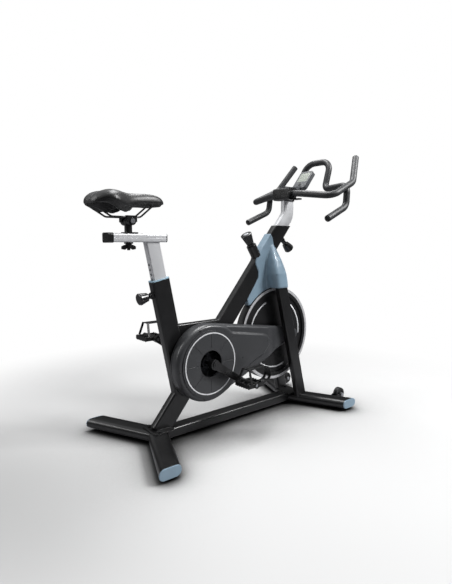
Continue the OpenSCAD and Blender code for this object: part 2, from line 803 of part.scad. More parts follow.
module seat_post() color("#c9cacc") from_crank() difference() {
    union() {
        difference() {
            in_seat_tube() bar(seat_post_size[0], seat_post_size[1], 6, 153, 560);
            in_seat_tube() bar(seat_post_size[0] - 2 * wall, seat_post_size[1] - 2 * wall, 4, 150, 480);
            translate([-400, -60, slider_z + 1]) cube([400, 120, 200]);
        }
        translate([slider_rear, 0, slider_z + slider_h / 2]) rotate([0, 90, 0])
            bar(slider_h, slider_w, 7, 0, slider_front - slider_rear);
    }
    translate([slider_rear - 1, 0, slider_z + slider_h / 2]) rotate([0, 90, 0])
        bar(slider_h - 2 * wall, slider_w - 2 * wall, 4, 0, slider_front - slider_rear + 2);
    // Slot for the saddle carriage's stud
    translate([saddle_x - 60, -stud_r - 1, slider_z - 5]) cube([110, 2 * stud_r + 2, 50]);
    // Fine groove along each side of the slider
    for (s = [-1, 1])
        translate([slider_rear - 1, s * slider_w / 2 - 0.6, slider_z + slider_h / 2 - 0.75])
            cube([slider_front - slider_rear + 2, 1.2, 1.5]);
    in_seat_tube() for (k = [-4:6])
        translate([-seat_post_size[0] / 2 + 7, 0, seat_pin_t + k * hole_pitch])
            rotate([0, -90, 0]) cylinder(r = 5.4, h = 10);
}

module slider_end_caps() color("#151515") from_crank() {
    translate([slider_rear - 22, 0, slider_z + slider_h / 2]) rotate([0, 90, 0])
        bar(slider_h + 4, slider_w + 3, 8, 0, 21.8);
    translate([slider_rear - 1, 0, slider_z + slider_h / 2]) rotate([0, 90, 0])
        bar(slider_h - 2 * wall - 1, slider_w - 2 * wall - 1, 3.5, 0.7, 8);
    translate([slider_front + 0.2, 0, slider_z + slider_h / 2]) rotate([0, 90, 0])
        bar(slider_h, slider_w, 7, 0, 4);
    translate([slider_front - 7, 0, slider_z + slider_h / 2]) rotate([0, 90, 0])
        bar(slider_h - 2 * wall - 1, slider_w - 2 * wall - 1, 3.5, 0, 7.3);
}

clamp_z = 892;
rail_z = 906;
rail_y = 24;
pillar_r = 14.3;

module saddle_carriage() color("#27282a") from_crank() translate([saddle_x, 0, 0]) {
    translate([0, 0, slider_z - 30]) cylinder(r = stud_r, h = 70);
    translate([-19, -21, slider_z + slider_h + 0.3]) cube([49, 42, 4]);
    difference() {
        union() {
            translate([0, 0, slider_z + slider_h + 1])
                cylinder(r = pillar_r, h = clamp_z - slider_z - slider_h);
            translate([0, 0, clamp_z]) across(15, -14, 14);
        }
        translate([0, 0, clamp_z]) across(5 + run_gap, -16, 16);
    }
}

module wing_knob() color("#121212") from_crank() translate([saddle_x, 0, slider_z]) difference() {
    union() {
        translate([0, 0, -5.5]) cylinder(r = 17, h = 5.2);
        translate([0, 0, -24]) cylinder(r = 12, h = 18.6);
        for (a = [0, 180]) rotate([0, 0, a]) translate([0, 0, -28]) rotate([90, 0, 0])
            translate([0, 0, -4]) linear_extrude(8)
                polygon([[8, 6], [16, 0], [28, 2], [29, 12], [22, 16], [10, 20]]);
    }
    translate([0, 0, -40]) cylinder(r = stud_r + run_gap, h = 50);
}

module clamp_jaws() color("#1c1c1d") from_crank() both_sides() difference() {
    union() {
        translate([saddle_x, 0, clamp_z]) across(16, 15, 33);
        translate([saddle_x - 20, 15, clamp_z - 4]) cube([40, 18, 24]);
    }
    translate([saddle_x, 0, clamp_z]) across(5 + run_gap, 14, 34);
    translate([saddle_x - 30, rail_y, rail_z]) rotate([0, 90, 0]) cylinder(r = 3.5 + run_gap, h = 60);
}

module clamp_bolt() color("silver") from_crank() translate([saddle_x, 0, clamp_z]) {
    across(5, -38, 38);
    both_sides() across(9, 33.2, 38);
}

module saddle_rails() color("#2a2a2b") from_crank() both_sides() bent_bar(
    [
        [-236, rail_y, 948], [-288, rail_y, rail_z], [-404, rail_y, rail_z], [-452, rail_y, 934]
    ], [0, 24, 24, 0], 3.5
);

// Saddle stations from tail to nose: x, half width, underside z, top z
pad_stations = [
    [-482, 34, 950, 972], [-473, 58, 943, 983], [-454, 84, 938, 990], [-424, 99, 936, 999],
    [-392, 101, 936, 1000], [-360, 88, 938, 996], [-330, 66, 941, 991], [-292, 46, 946, 991],
    [-254, 36, 951, 995], [-221, 31, 955, 993], [-196, 26, 957, 989], [-183, 17, 960, 978]
];

function base_stations() = [
    for (i = [1:len(pad_stations) - 2]) let (s = pad_stations[i])
        [s[0] * 0.985 - 5, s[1] - 12, s[2] - 9, s[2] - 0.6]
];

section_points = 28;
// Points round one saddle section: a superellipse in y and z
function section(s) = [
    for (k = [0:section_points - 1]) let (
        a = 360 * k / section_points, c = cos(a), d = sin(a), mid = (s[2] + s[3]) / 2, h = (s[3] - s[2]) / 2
    )
    [s[0], s[1] * sign(c) * pow(abs(c), 0.62), mid + h * sign(d) * pow(abs(d), 0.62)]
];

module loft(stations) {
    n = section_points;
    last = len(stations) - 1;
    polyhedron(
        points = [for (s = stations) each section(s)],
        faces = concat(
            [[for (k = [0:n - 1]) k]],
            [[for (k = [n - 1:-1:0]) last * n + k]],
            [for (i = [0:last - 1], k = [0:n - 1])
                [i * n + k, (i + 1) * n + k, (i + 1) * n + (k + 1) % n, i * n + (k + 1) % n]]
        )
    );
}

module saddle_base() color("#1a1a1b") from_crank() loft(base_stations());
module saddle_pad() color("#18181a") from_crank() loft(pad_stations);

// ---------- handlebar ----------

post_bend_t = 810;
post_bend_r = 50;
post_x = main_off + post_bend_t * cos(main_slope) + post_bend_r * (1 - sin(main_slope));
post_bend_z = crank_z + post_bend_t * sin(main_slope) + post_bend_r * cos(main_slope);
post_top = 1016;

// The straight parts stand a little inside the bend, as in bent_bar
module post_bar(low, high) {
    bar(post_size[0] - 2 * joint_step, post_size[1] - 2 * joint_step, 6, low, high);
}

module handlebar_post() color("#cdced0") from_crank() difference() {
    union() {
        in_main_tube() post_bar(595, post_bend_t + joint_lap);
        translate([post_x - post_bend_r, 0, post_bend_z]) rotate([90, 0, 0])
            rotate([0, 0, main_slope - 90]) rotate_extrude(angle = 90 - main_slope)
                translate([post_bend_r, 0]) polygon(rounded(post_size[0], post_size[1], 6));
        translate([post_x, 0, 0]) post_bar(post_bend_z - joint_lap, post_top);
    }
    in_main_tube() bar(post_size[0] - 2 * wall, post_size[1] - 2 * wall, 4, 590, 790);
    in_main_tube() for (k = [-4:1])
        translate([post_size[0] / 2 - 7, 0, bar_pin_t + k * hole_pitch])
            rotate([0, 90, 0]) cylinder(r = 5.4, h = 10);
}

bar_x = 530;

module bar_clamp() color("#161617") from_crank() difference() {
    union() {
        translate([0, 0, bar_z]) rotate([90, 0, 0]) translate([bar_x - 6, 0, -52])
            linear_extrude(104) polygon(rounded(56, 57, 12));
        translate([post_x, 0, 0])
            bar(post_size[0] + 8, post_size[1] + 8, 8, post_top + 0.2, post_top + 12);
        // Quick-release lever under the right side
        translate([bar_x + 2, -84, bar_z - 29]) cube([22, 34, 7]);
    }
    translate([bar_x, 0, bar_z]) across(bar_r + run_gap, -90, 90);
    translate([bar_x - 1, -60, bar_z + 8]) cube([2, 120, 40]);
}

module outer_bar() color("#3d3e40") from_crank()
    bent_bar(
        [
            [821, 196, 1230], [735, 243, 1100], [560, 262, 1024], [bar_x, 80, bar_z],
            [bar_x, -80, bar_z],
            [560, -262, 1024], [735, -243, 1100], [821, -196, 1230]
        ], [0, 60, 45, 120, 120, 45, 60, 0], bar_r
    );

module aero_bar() color("#3d3e40") from_crank()
    bent_bar(
        [
            [524, 262, 920], [672, 253, 982], [682, 250, 1082], [727, 84, 1080], [776, 80, 1225],
            [776, -80, 1225], [727, -84, 1080], [682, -250, 1082], [672, -253, 982], [524, -262, 920]
        ], [0, 45, 40, 34, 56, 56, 34, 40, 45, 0], bar_r
    );

// ---------- console ----------

console_w = 81;
console_h = 112;
console_t = 22;

// z runs up the console's face and x points forward through it
module in_console() {
    translate(console_base) rotate([0, console_tilt, 0]) children();
}

module console() color("#5b5d5f") from_crank() difference() {
    union() {
        in_console() translate([0, 0, console_h / 2]) rotate([0, 90, 0])
            linear_extrude(console_t) polygon(rounded(console_h, console_w, 12));
        // Stem down to the bar clamp
        side_plate(-16, 16) polygon([
            [512, 1075.8], [552, 1075.8], [636, 1077], [642, 1090], [628, 1096], [560, 1084], [512, 1084]
        ]);
    }
    in_console() translate([-1, -31, 42]) cube([3, 62, 58]);
    in_console() translate([-1, 0, 22]) rotate([0, 90, 0]) cylinder(r = 8.3, h = 9);
}

module console_lens() color("#dfe3d8") from_crank() in_console()
    translate([0.2, -30.6, 42.4]) cube([1.7, 61.2, 57.2]);

module console_button() color("#2c2d2f") from_crank() in_console()
    translate([-2, 0, 22]) rotate([0, 90, 0]) cylinder(r = 8.1, h = 7);

main_frame();
rear_foot();
front_foot();
foot_end_caps();
foot_bolts();
levelling_foot_rear_left();
levelling_foot_rear_right();
levelling_foot_front_left();
levelling_foot_front_right();
transport_wheel_left();
transport_wheel_right();
wheel_bolts();
guard_outer();
guard_inner();
guard_disc();
guard_ring();
guard_screws();
head_cover_left();
head_cover_right();
tube_sleeves();
bottom_bracket_bearings();
crank_axle();
drive_pulley();
drive_belt();
crank_right();
crank_left();
crank_bolts();
pedal_spindles();
pedal_right();
pedal_left();
toe_cage_right();
toe_cage_left();
flywheel();
flywheel_shaft();
flywheel_pulley();
flywheel_bearings();
shaft_nut();
brake_sleeve();
resistance_knob();
brake_rod();
brake_shoe();
pin_housings();
seat_pin();
handlebar_pin();
seat_post();
slider_end_caps();
saddle_carriage();
wing_knob();
clamp_jaws();
clamp_bolt();
saddle_rails();
saddle_base();
saddle_pad();
handlebar_post();
bar_clamp();
outer_bar();
aero_bar();
console();
console_lens();
console_button();
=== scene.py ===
import json
import math

import bmesh
import bpy
import numpy as np
from mathutils import Matrix, Vector
from mathutils.bvhtree import BVHTree


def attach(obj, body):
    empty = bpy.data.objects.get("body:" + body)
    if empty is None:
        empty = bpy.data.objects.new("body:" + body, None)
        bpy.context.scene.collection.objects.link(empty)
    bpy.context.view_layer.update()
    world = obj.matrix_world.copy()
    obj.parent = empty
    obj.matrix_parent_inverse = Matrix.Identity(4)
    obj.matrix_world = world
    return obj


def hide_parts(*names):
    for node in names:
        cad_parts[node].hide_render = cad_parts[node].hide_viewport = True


# Looks of the indoor spin bike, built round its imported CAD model.
# Metres. +X is forward, +Y is the rider's left, +Z is up and the floor is z = 0.

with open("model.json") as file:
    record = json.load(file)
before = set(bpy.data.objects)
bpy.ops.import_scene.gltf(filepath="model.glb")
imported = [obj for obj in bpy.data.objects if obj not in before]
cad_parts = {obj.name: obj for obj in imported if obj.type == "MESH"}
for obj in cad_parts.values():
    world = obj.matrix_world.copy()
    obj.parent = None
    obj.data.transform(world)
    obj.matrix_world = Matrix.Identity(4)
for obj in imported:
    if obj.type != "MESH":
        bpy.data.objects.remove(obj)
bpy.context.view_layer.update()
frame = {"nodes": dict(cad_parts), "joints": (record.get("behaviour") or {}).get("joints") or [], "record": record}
nodes = frame["nodes"]
joints = {joint["name"]: joint for joint in frame["joints"]}
crank = Vector(joints["crank_spin"]["pos_m"])
hub = Vector(joints["flywheel_spin"]["pos_m"])
MM = 0.001
WALL = 0.0032  # wall of the hollow plastic covers
COVER_VOXEL = 0.003  # grid that the covers are remeshed on


# ---------------------------------------------------------------- materials


def rgb(red, green, blue):
    """Linear colour from display values of 0 to 255."""
    return tuple(((c / 255 + 0.055) / 1.055) ** 2.4 for c in (red, green, blue)) + (1.0,)


class Graph:
    """A material's node tree, with short ways to add nodes and join them."""

    def __init__(self, name):
        self.material = bpy.data.materials.new(name)
        self.material.use_nodes = True
        self.tree = self.material.node_tree
        self.tree.nodes.clear()
        output = self.add("ShaderNodeOutputMaterial")
        self.bsdf = self.add("ShaderNodeBsdfPrincipled")
        self.join(self.bsdf.outputs["BSDF"], output.inputs["Surface"])
        self.place = self.add("ShaderNodeTexCoord").outputs["Object"]
        self.normal = None

    def add(self, kind, **settings):
        node = self.tree.nodes.new(kind)
        for key, value in settings.items():
            setattr(node, key, value)
        return node

    def join(self, source, target):
        self.tree.links.new(source, target)

    def feed(self, node, **values):
        """Sets or joins a node's inputs; an underscore stands for a space in an input's name."""
        for key, value in values.items():
            socket = node.inputs[key.replace("_", " ")]
            if isinstance(value, bpy.types.NodeSocket):
                self.join(value, socket)
            else:
                socket.default_value = value

    def at(self, stretch):
        """Object coordinates scaled per axis; a small factor stretches the pattern along that axis."""
        mapping = self.add("ShaderNodeMapping")
        self.feed(mapping, Vector=self.place, Scale=stretch)
        return mapping.outputs["Vector"]

    def noise(self, scale, detail=3.0, stretch=None):
        node = self.add("ShaderNodeTexNoise")
        self.feed(node, Scale=scale, Detail=detail, Roughness=0.6)
        self.join(self.at(stretch) if stretch else self.place, node.inputs["Vector"])
        return node.outputs["Fac"]

    def cells(self, scale, stretch=None):
        node = self.add("ShaderNodeTexVoronoi", feature="SMOOTH_F1")
        self.feed(node, Scale=scale, Smoothness=0.35)
        self.join(self.at(stretch) if stretch else self.place, node.inputs["Vector"])
        return node.outputs["Distance"]

    def span(self, value, low, high, to_low, to_high):
        node = self.add("ShaderNodeMapRange", clamp=True)
        self.feed(node, Value=value)
        for index, number in enumerate((low, high, to_low, to_high), 1):
            node.inputs[index].default_value = number
        return node.outputs["Result"]

    def math(self, operation, a, b=0.0):
        node = self.add("ShaderNodeMath", operation=operation)
        for socket, value in zip(node.inputs, (a, b)):
            if isinstance(value, bpy.types.NodeSocket):
                self.join(value, socket)
            else:
                socket.default_value = value
        return node.outputs["Value"]

    def mix(self, factor, a, b):
        node = self.add("ShaderNodeMix", data_type="RGBA")
        for index, value in ((0, factor), (6, a), (7, b)):
            socket = node.inputs[index]
            if isinstance(value, bpy.types.NodeSocket):
                self.join(value, socket)
            else:
                socket.default_value = value
        return node.outputs[2]

    def round_edges(self, radius):
        node = self.add("ShaderNodeBevel", samples=4)
        self.feed(node, Radius=radius)
        self.normal = node.outputs["Normal"]
        return node.outputs["Normal"]

    def edge_mask(self, radius):
        """1 along sharp edges and 0 on open faces."""
        rounded = self.round_edges(radius)
        dot = self.add("ShaderNodeVectorMath", operation="DOT_PRODUCT")
        self.join(rounded, dot.inputs[0])
        self.join(self.add("ShaderNodeNewGeometry").outputs["Normal"], dot.inputs[1])
        return self.span(dot.outputs["Value"], 0.999, 0.94, 0.0, 1.0)

    def bump(self, height, strength, distance):
        node = self.add("ShaderNodeBump")
        self.feed(node, Height=height, Strength=strength, Distance=distance)
        if self.normal is not None:
            self.join(self.normal, node.inputs["Normal"])
        self.normal = node.outputs["Normal"]

    def finish(self, colour, roughness, **values):
        self.feed(self.bsdf, Base_Color=colour, Roughness=roughness, **values)
        if self.normal is not None:
            self.join(self.normal, self.bsdf.inputs["Normal"])
        return self.material

    def radius_about(self, centre):
        """Distance from the axis along y through centre."""
        parts = self.add("ShaderNodeSeparateXYZ")
        self.join(self.place, parts.inputs["Vector"])
        x = self.math("SUBTRACT", parts.outputs["X"], centre.x)
        z = self.math("SUBTRACT", parts.outputs["Z"], centre.z)
        square = self.math("ADD", self.math("MULTIPLY", x, x), self.math("MULTIPLY", z, z))
        return self.math("SQRT", square)


def shade(colour, factor):
    return tuple(min(1.0, c * factor) for c in colour[:3]) + (1.0,)


def coated(name, colour, rough, peel=0.12, peel_scale=900.0, wear=1.5, coat=0.15, edge=0.0012):
    """Powder coat: orange peel, faint dust in patches, and edges painted lighter, partly as rubbed wear and partly
    as a painted highlight.
    """
    g = Graph(name)
    patches = g.noise(7.0, 4.0)
    edge_wear_and_highlight = g.edge_mask(edge)
    tone = g.mix(g.span(patches, 0.35, 0.7, 0.0, 1.0), shade(colour, 0.86), shade(colour, 1.2))
    # Edges painted lighter by the factor wear: partly rubbed wear, partly a painted highlight along the edges.
    tone = g.mix(g.math("MULTIPLY", edge_wear_and_highlight, 0.35), tone, shade(colour, 1.0 + wear))
    rough_map = g.span(g.noise(38.0, 5.0), 0.3, 0.75, rough - 0.05, rough + 0.07)
    g.bump(g.noise(peel_scale, 2.0), peel, 0.0004)
    g.bump(g.noise(45.0, 2.0), 0.04, 0.001)
    return g.finish(tone, rough_map, Coat_Weight=coat, Coat_Roughness=0.18)


def moulded(name, colour, rough, grain=0.2, grain_scale=1500.0, speckle=0.12, edge=0.0008, **values):
    """Moulded plastic or rubber with a fine spark-eroded grain."""
    g = Graph(name)
    g.round_edges(edge)
    flecks = g.noise(260.0, 4.0)
    broad = g.noise(9.0, 3.0)
    tone = g.mix(g.span(broad, 0.3, 0.72, 0.0, 1.0), shade(colour, 1 - speckle), shade(colour, 1 + speckle))
    tone = g.mix(g.span(flecks, 0.58, 0.7, 0.0, 0.22), tone, shade(colour, 1.5))
    rough_map = g.span(g.noise(60.0, 4.0), 0.3, 0.7, rough - 0.06, rough + 0.06)
    g.bump(g.cells(grain_scale), grain, 0.0003)
    return g.finish(tone, rough_map, **values)


def metal(name, colour, rough, streak=(1.0, 1.0, 1.0), scale=700.0, depth=0.12, **values):
    """Machined, plated or brushed metal; streak stretches the marks along one axis."""
    g = Graph(name)
    g.round_edges(0.0006)
    marks = g.noise(scale, 3.0, streak)
    cloud = g.noise(12.0, 4.0)
    tone = g.mix(g.span(cloud, 0.3, 0.72, 0.0, 1.0), shade(colour, 0.9), shade(colour, 1.06))
    tone = g.mix(g.span(marks, 0.35, 0.65, 0.0, 0.3), tone, shade(colour, 0.78))
    g.bump(marks, depth, 0.0002)
    rough_map = g.span(marks, 0.3, 0.7, rough - 0.06, rough + 0.08)
    return g.finish(tone, rough_map, Metallic=1.0, **values)


def silver_paint():
    """Satin silver of the sliding posts: fine metal flake under a thin clear coat."""
    g = Graph("silver_post")
    g.round_edges(0.0012)
    colour = rgb(212, 213, 215)
    flake = g.cells(2600.0)
    drag = g.noise(160.0, 3.0, (1.0, 1.0, 0.06))
    tone = g.mix(g.span(g.noise(6.0, 3.0), 0.3, 0.7, 0.0, 1.0), shade(colour, 0.93), shade(colour, 1.04))
    tone = g.mix(g.span(flake, 0.1, 0.5, 0.25, 0.0), tone, shade(colour, 1.25))
    g.bump(flake, 0.06, 0.0002)
    g.bump(drag, 0.05, 0.0003)
    rough_map = g.span(drag, 0.3, 0.7, 0.3, 0.42)
    return g.finish(tone, rough_map, Metallic=0.25, Coat_Weight=0.25, Coat_Roughness=0.2)


def flywheel_iron():
    """Black painted casting with a turned, polished band round the edge of each face."""
    g = Graph("flywheel_iron")
    g.round_edges(0.0015)
    radius = g.radius_about(hub)
    geometry = g.add("ShaderNodeNewGeometry")
    face = g.add("ShaderNodeSeparateXYZ")
    g.join(geometry.outputs["Normal"], face.inputs["Vector"])
    on_face = g.math("GREATER_THAN", g.math("ABSOLUTE", face.outputs["Y"]), 0.8)
    band_start = 0.2118
    outer = g.span(radius, band_start, band_start + 0.0006, 0.0, 1.0)
    band = g.math("MULTIPLY", on_face, outer)
    rings = g.add("ShaderNodeTexNoise", noise_dimensions="1D")
    g.feed(rings, Scale=2400.0, Detail=2.0, W=radius)
    turned = rings.outputs["Fac"]
    paint = g.mix(g.span(g.noise(14.0, 4.0), 0.3, 0.7, 0.0, 1.0), rgb(8, 8, 9), rgb(15, 15, 16))
    steel = g.mix(g.span(turned, 0.3, 0.7, 0.0, 1.0), rgb(190, 190, 192), rgb(216, 216, 218))
    tone = g.mix(band, paint, steel)
    metallic = g.math("MULTIPLY", band, 0.35)
    g.bump(turned, 0.08, 0.0002)
    g.bump(g.noise(700.0, 2.0), 0.05, 0.0003)
    painted = g.span(g.noise(40.0, 4.0), 0.3, 0.7, 0.34, 0.46)
    rough_map = g.math("SUBTRACT", painted, g.math("MULTIPLY", band, 0.12))
    return g.finish(tone, rough_map, Metallic=metallic)


def vinyl():
    """Soft black vinyl: leather-like pebble grain, finer creases and a low sheen."""
    g = Graph("saddle_cover")
    colour = rgb(13, 13, 14)
    pebbles = g.cells(520.0)
    creases = g.noise(150.0, 6.0)
    tone = g.mix(g.span(pebbles, 0.05, 0.55, 0.0, 1.0), shade(colour, 1.35), shade(colour, 0.7))
    tone = g.mix(g.span(g.noise(5.0, 3.0), 0.35, 0.7, 0.0, 0.5), tone, shade(colour, 1.5))
    g.bump(pebbles, 0.1, 0.0003)
    g.bump(creases, 0.02, 0.0005)
    rough_map = g.span(pebbles, 0.0, 0.6, 0.34, 0.44)
    return g.finish(tone, rough_map, Sheen_Weight=0.12, Sheen_Roughness=0.4, Specular_IOR_Level=0.5)


def thread():
    """Waxed thread with a twist."""
    g = Graph("saddle_thread")
    twist = g.add("ShaderNodeTexWave", bands_direction="DIAGONAL")
    g.feed(twist, Vector=g.place, Scale=900.0, Distortion=1.0)
    tone = g.mix(twist.outputs["Fac"], rgb(24, 24, 26), rgb(48, 48, 51))
    g.bump(twist.outputs["Fac"], 0.4, 0.0002)
    return g.finish(tone, 0.6)


def felt():
    """Pressed wool of the brake shoe."""
    g = Graph("felt")
    fibres = g.noise(900.0, 6.0, (1.0, 0.25, 1.0))
    tone = g.mix(g.span(fibres, 0.3, 0.7, 0.0, 1.0), rgb(92, 71, 48), rgb(142, 114, 82))
    g.bump(fibres, 0.5, 0.0008)
    return g.finish(tone, 0.9, Sheen_Weight=0.3)


def display():
    """Unlit LCD: pale glass over a faint grid of cells."""
    g = Graph("display")
    grid = g.add("ShaderNodeTexBrick", offset=0.0)
    g.feed(grid, Vector=g.at((1.0, 1.0, 1.0)), Scale=260.0, Mortar_Size=0.03)
    g.feed(grid, Color1=rgb(150, 155, 146), Color2=rgb(143, 149, 140), Mortar=rgb(134, 140, 131))
    haze = g.span(g.noise(30.0, 4.0), 0.3, 0.7, 0.0, 0.25)
    tone = g.mix(haze, grid.outputs["Color"], rgb(164, 168, 161))
    g.bump(g.noise(60.0, 3.0), 0.03, 0.0005)
    return g.finish(tone, g.span(g.noise(25.0), 0.3, 0.7, 0.12, 0.24), Coat_Weight=0.4, Coat_Roughness=0.1)


BLUE = rgb(128, 150, 166)
materials = {
    "frame_black": coated("frame_black", rgb(13, 13, 14), 0.34, wear=4.0),
    "cover_blue": moulded("cover_blue", BLUE, 0.36, grain=0.08, speckle=0.05, Coat_Weight=0.15),
    "cap_blue": moulded("cap_blue", rgb(134, 156, 172), 0.4, grain=0.12, speckle=0.06),
    "guard_grey": moulded("guard_grey", rgb(56, 57, 59), 0.33, grain=0.14, speckle=0.08),
    "white_trim": moulded("white_trim", rgb(222, 223, 225), 0.4, grain=0.05, speckle=0.03),
    "silver_post": silver_paint(),
    "zinc_steel": metal("zinc_steel", rgb(176, 178, 182), 0.3),
    "black_steel": coated("black_steel", rgb(13, 13, 14), 0.3, peel=0.08, wear=3.0, coat=0.3),
    "flywheel_iron": flywheel_iron(),
    "pulley_alloy": metal("pulley_alloy", rgb(52, 53, 56), 0.38),
    "belt_rubber": moulded("belt_rubber", rgb(15, 15, 15), 0.7, grain=0.4),
    "foot_rubber": moulded("foot_rubber", rgb(16, 16, 16), 0.72, grain=0.4, grain_scale=900.0),
    "wheel_black": moulded("wheel_black", rgb(20, 20, 21), 0.5, grain=0.25),
    "knob_black": moulded("knob_black", rgb(8, 8, 9), 0.3, grain=0.05, edge=0.0015, Coat_Weight=0.2),
    "sleeve_pale": moulded("sleeve_pale", rgb(150, 178, 195), 0.45, grain=0.1, speckle=0.05),
    "pedal_black": moulded("pedal_black", rgb(14, 14, 15), 0.42, grain=0.3),
    "bar_grip": moulded("bar_grip", rgb(40, 41, 43), 0.5, grain=0.06, grain_scale=1400.0, speckle=0.08),
    "saddle_cover": vinyl(),
    "saddle_shell": moulded("saddle_shell", rgb(7, 7, 8), 0.55, grain=0.2, Specular_IOR_Level=0.25),
    "saddle_thread": thread(),
    "console_grey": moulded("console_grey", rgb(70, 72, 75), 0.4, grain=0.15, edge=0.002),
    "display": display(),
    "felt": felt(),
    "bar_end": moulded("bar_end", rgb(10, 10, 10), 0.5, grain=0.2),
    "knob_disc": moulded("knob_disc", rgb(170, 172, 175), 0.34, grain=0.05, Metallic=0.3),
}
for part in frame["record"]["subparts"]:
    node = nodes[part["node"]]
    node.data.materials.clear()
    node.data.materials.append(materials[part["material_slot"]])
for name in ("guard_screws", "pin_housings", "crank_bolts", "crank_axle", "foot_bolts"):
    nodes[name].data.materials[0] = materials["black_steel"]

# The sleeve in the diagonal tube's mouth is black, and the one in the seat tube's mouth is pale
sleeves = nodes["tube_sleeves"].data
sleeves.materials.append(materials["black_steel"])
for face in sleeves.polygons:
    face.material_index = int(face.center.x > 0)


# ---------------------------------------------------------------- mesh helpers


def smooth_shaded(obj, angle=34):
    """Round stretches shade as round, and edges sharper than angle stay sharp."""
    for face in obj.data.polygons:
        face.use_smooth = True
    weld = obj.modifiers.new("weld", "WELD")
    weld.merge_threshold = 0.00002
    split = obj.modifiers.new("crease", "EDGE_SPLIT")
    split.split_angle = math.radians(angle)


def new_object(name, mesh):
    obj = bpy.data.objects.new(name, mesh)
    bpy.context.scene.collection.objects.link(obj)
    return obj


def mesh_object(name, points, faces):
    mesh = bpy.data.meshes.new(name)
    mesh.from_pydata([tuple(p) for p in points], [], faces)
    mesh.validate()
    bm = bmesh.new()
    bm.from_mesh(mesh)
    bmesh.ops.recalc_face_normals(bm, faces=bm.faces)
    bm.to_mesh(mesh)
    bm.free()
    return new_object(name, mesh)


def bake(obj):
    """Applies every modifier on obj."""
    bpy.context.view_layer.update()
    graph = bpy.context.evaluated_depsgraph_get()
    mesh = bpy.data.meshes.new_from_object(obj.evaluated_get(graph), depsgraph=graph)
    obj.modifiers.clear()
    obj.data = mesh
    return obj


def remesh(obj, voxel, passes=0):
    """One even skin over obj, eased by a number of smoothing passes."""
    skin = obj.modifiers.new("skin", "REMESH")
    skin.mode = "VOXEL"
    skin.voxel_size = voxel
    if passes:
        ease = obj.modifiers.new("ease", "SMOOTH")
        ease.factor = 0.5
        ease.iterations = passes
    return bake(obj)


def room_in(obj, wall):
    """Solid of the room inside obj, once obj has a wall of this thickness."""
    room = new_object("room", obj.data.copy())
    shrink = room.modifiers.new("shrink", "DISPLACE")
    shrink.strength = -wall
    shrink.mid_level = 0
    return remesh(bake(room), COVER_VOXEL, 1)


def cut(obj, *tools):
    """Takes the tools away from obj and deletes them."""
    for tool in tools:
        step = obj.modifiers.new("cut", "BOOLEAN")
        step.operation = "DIFFERENCE"
        step.solver = "EXACT"
        step.object = tool
    bake(obj)
    for tool in tools:
        bpy.data.objects.remove(tool)
    return obj


def place(x, y, z):
    """A point given in millimetres, with x ahead of the crank axis."""
    return Vector((crank.x + x * MM, y * MM, z * MM))


def skin_rings(name, rings):
    """Closed solid skinned over rings that have the same number of points."""
    n = len(rings[0])
    points = [p for ring in rings for p in ring]
    faces = [list(range(n)), [len(points) - 1 - k for k in range(n)]]
    for row in range(0, len(points) - n, n):
        faces += [[row + k, row + (k + 1) % n, row + n + (k + 1) % n, row + n + k] for k in range(n)]
    return mesh_object(name, points, faces)


def prism(name, outline, y0, y1):
    """Solid of an outline drawn in x and z, from y0 to y1, in millimetres."""
    return skin_rings(name, [[place(x, y, z) for x, z in outline] for y in (y0, y1)])


def hull_of(name, points):
    """Smallest convex solid round some points."""
    mesh = bpy.data.meshes.new(name)
    bm = bmesh.new()
    for point in points:
        bm.verts.new(point)
    found = bmesh.ops.convex_hull(bm, input=bm.verts)
    spare = [g for g in found["geom_interior"] if isinstance(g, bmesh.types.BMVert)]
    bmesh.ops.delete(bm, geom=spare, context="VERTS")
    bmesh.ops.recalc_face_normals(bm, faces=bm.faces)
    bm.to_mesh(mesh)
    bm.free()
    return new_object(name, mesh)


def join(name, *parts):
    """One object of several closed meshes."""
    bm = bmesh.new()
    for part in parts:
        bm.from_mesh(part.data)
    mesh = bpy.data.meshes.new(name)
    bm.to_mesh(mesh)
    bm.free()
    for part in parts:
        bpy.data.objects.remove(part)
    return new_object(name, mesh)


def arc(cx, cz, r, a0, a1, steps):
    """Points round a centre in x and z, from angle a0 to a1 in degrees."""
    turns = [math.radians(a0 + (a1 - a0) * i / steps) for i in range(steps + 1)]
    return [(cx + r * math.cos(a), cz + r * math.sin(a)) for a in turns]


def rod(name, start, end, radius, sides=48):
    """Plain cylinder used as a cutting tool."""
    axis = (end - start).normalized()
    turn = axis.to_track_quat("Z", "Y").to_matrix()
    turns = np.linspace(0, 2 * math.pi, sides, False)
    ring = [turn @ Vector((math.cos(a), math.sin(a), 0)) * radius for a in turns]
    return skin_rings(name, [[start + p for p in ring], [end + p for p in ring]])


def wear(obj, body, slot, *stands_for, material=None):
    """Gives a new piece its material and its body, and hides the CAD nodes that it stands for."""
    obj.data.materials.clear()
    obj.data.materials.append(materials[material or slot])
    for face in obj.data.polygons:
        face.use_smooth = True
    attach(obj, body)
    if stands_for:
        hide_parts(*stands_for)
    return obj


def mirrored(obj, name):
    """A copy of obj on the other side of the bike."""
    mesh = obj.data.copy()
    mesh.transform(Matrix.Scale(-1, 4, (0, 1, 0)))
    mesh.flip_normals()
    return new_object(name, mesh)


def box_solid(name, low, high):
    corners = [(x, y, z) for x in (low[0], high[0]) for y in (low[1], high[1]) for z in (low[2], high[2])]
    return hull_of(name, [Vector(c) for c in corners])


for node in nodes.values():
    smooth_shaded(node)

# ---------------------------------------------------------------- saddle

